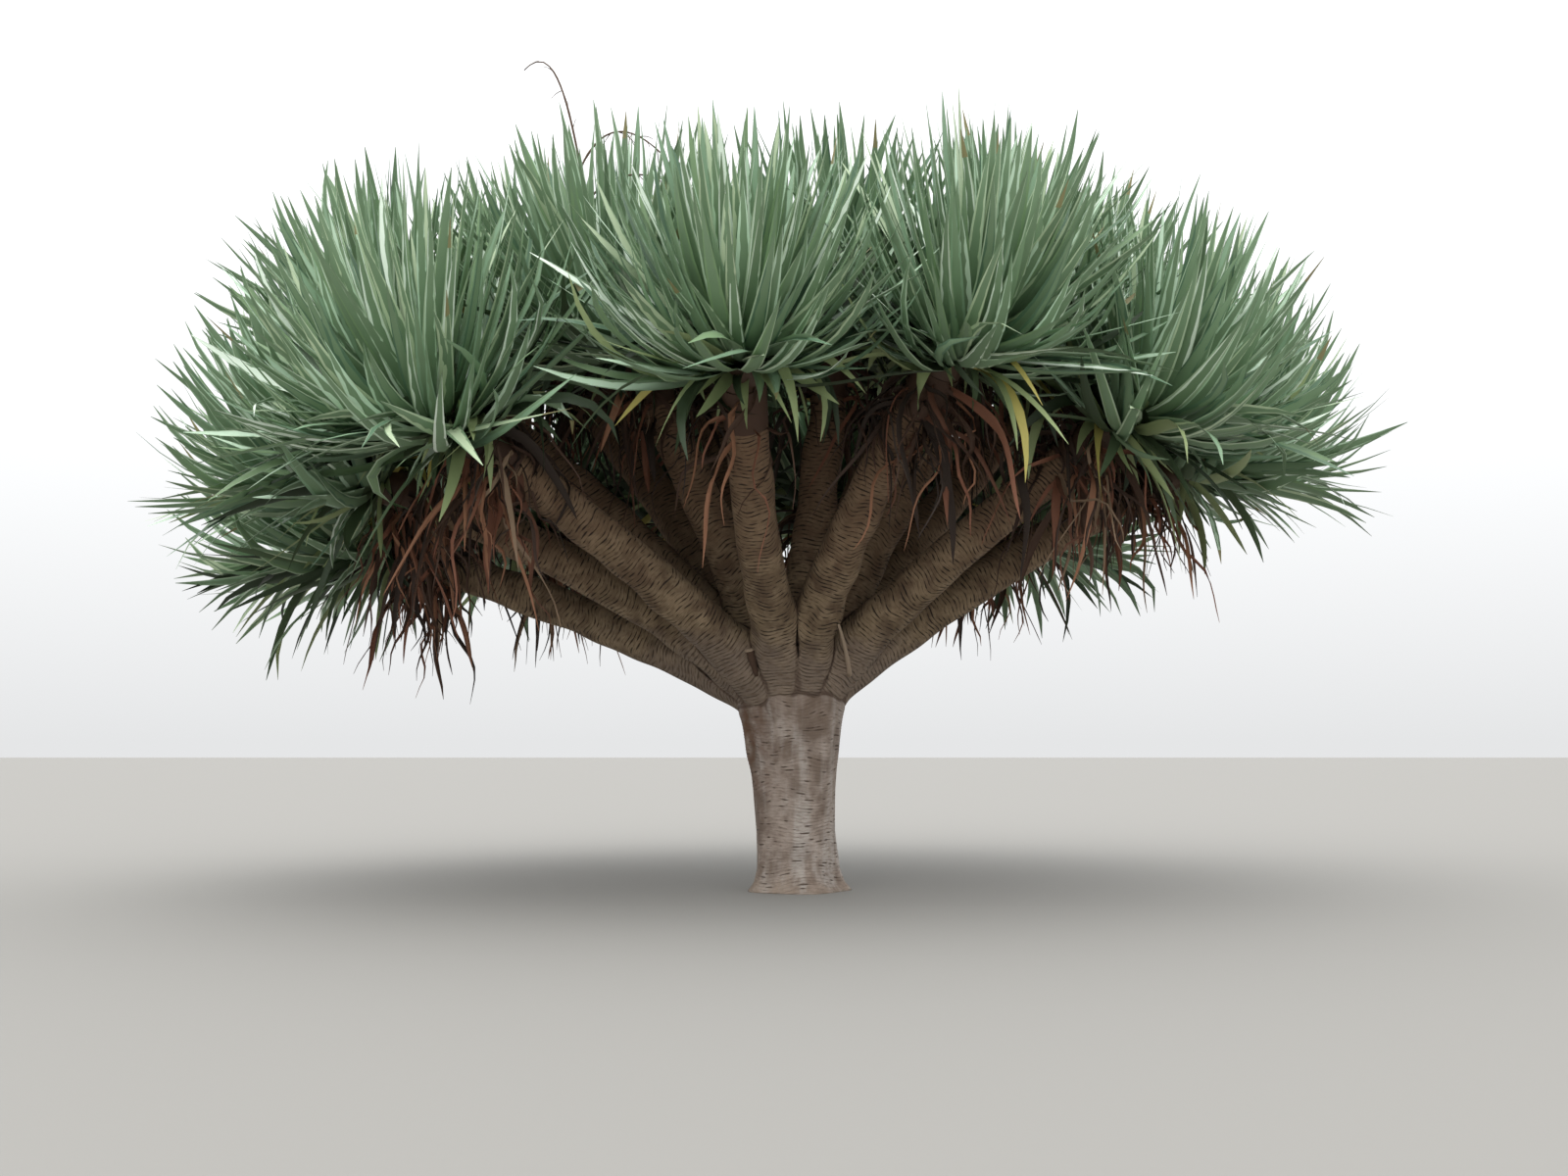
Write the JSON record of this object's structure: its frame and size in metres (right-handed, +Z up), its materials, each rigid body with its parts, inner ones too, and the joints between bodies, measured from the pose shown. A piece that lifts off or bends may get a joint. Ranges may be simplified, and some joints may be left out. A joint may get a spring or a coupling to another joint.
{
  "type": "dragon tree",
  "caption": "Dragon tree: a short trunk forks into a fan of thick ringed boughs, each with a rosette of sword leaves over hanging dead leaves, making a broad flat-topped crown.",
  "frame": {"origin": "middle of the flat cut under the trunk, at ground level, where the tree is fixed", "axes": "+Z up; seen in the reference view +X points right and +Y away from the viewer"},
  "size_m": [4.0824, 3.392, 2.6475],
  "materials": {
    "trunk bark": "matt, pinkish grey, finely wrinkled",
    "bough bark": "matt, grey brown, close rows of leaf scars",
    "leaf": "satin, waxy blue green",
    "dead leaf": "matt, dry reddish brown",
    "dry stalk": "matt, dry dark brown"
  },
  "bodies": {
    "root": {"trunk": "trunk bark", "bough_front": "bough bark", "dry_leaves_front": "dead leaf", "leaves_front": "leaf", "bough_front_right": "bough bark", "dry_leaves_front_right": "dead leaf", "leaves_front_right": "leaf", "bough_right_front": "bough bark", "dry_leaves_right_front": "dead leaf", "leaves_right_front": "leaf", "bough_right": "bough bark", "dry_leaves_right": "dead leaf", "leaves_right": "leaf", "bough_upper_right": "bough bark", "dry_leaves_upper_right": "dead leaf", "leaves_upper_right": "leaf", "bough_back_right": "bough bark", "dry_leaves_back_right": "dead leaf", "leaves_back_right": "leaf", "bough_back": "bough bark", "dry_leaves_back": "dead leaf", "leaves_back": "leaf", "bough_back_left": "bough bark", "dry_leaves_back_left": "dead leaf", "leaves_back_left": "leaf", "bough_left_back": "bough bark", "dry_leaves_left_back": "dead leaf", "leaves_left_back": "leaf", "bough_left_low": "bough bark", "dry_leaves_left_low": "dead leaf", "leaves_left_low": "leaf", "bough_left": "bough bark", "dry_leaves_left": "dead leaf", "leaves_left": "leaf", "bough_front_left": "bough bark", "dry_leaves_front_left": "dead leaf", "leaves_front_left": "leaf", "bough_upper_front": "bough bark", "dry_leaves_upper_front": "dead leaf", "leaves_upper_front": "leaf", "bough_upper_left": "bough bark", "dry_leaves_upper_left": "dead leaf", "leaves_upper_left": "leaf", "bough_upper_back": "bough bark", "dry_leaves_upper_back": "dead leaf", "leaves_upper_back": "leaf", "bough_centre": "bough bark", "dry_leaves_centre": "dead leaf", "leaves_centre": "leaf", "bough_upper_back_right": "bough bark", "dry_leaves_upper_back_right": "dead leaf", "leaves_upper_back_right": "leaf", "bough_upper_far_left": "bough bark", "dry_leaves_upper_far_left": "dead leaf", "leaves_upper_far_left": "leaf", "bough_upper_middle": "bough bark", "dry_leaves_upper_middle": "dead leaf", "leaves_upper_middle": "leaf", "flower_stalk": "dry stalk"}
  },
  "joints": []
}
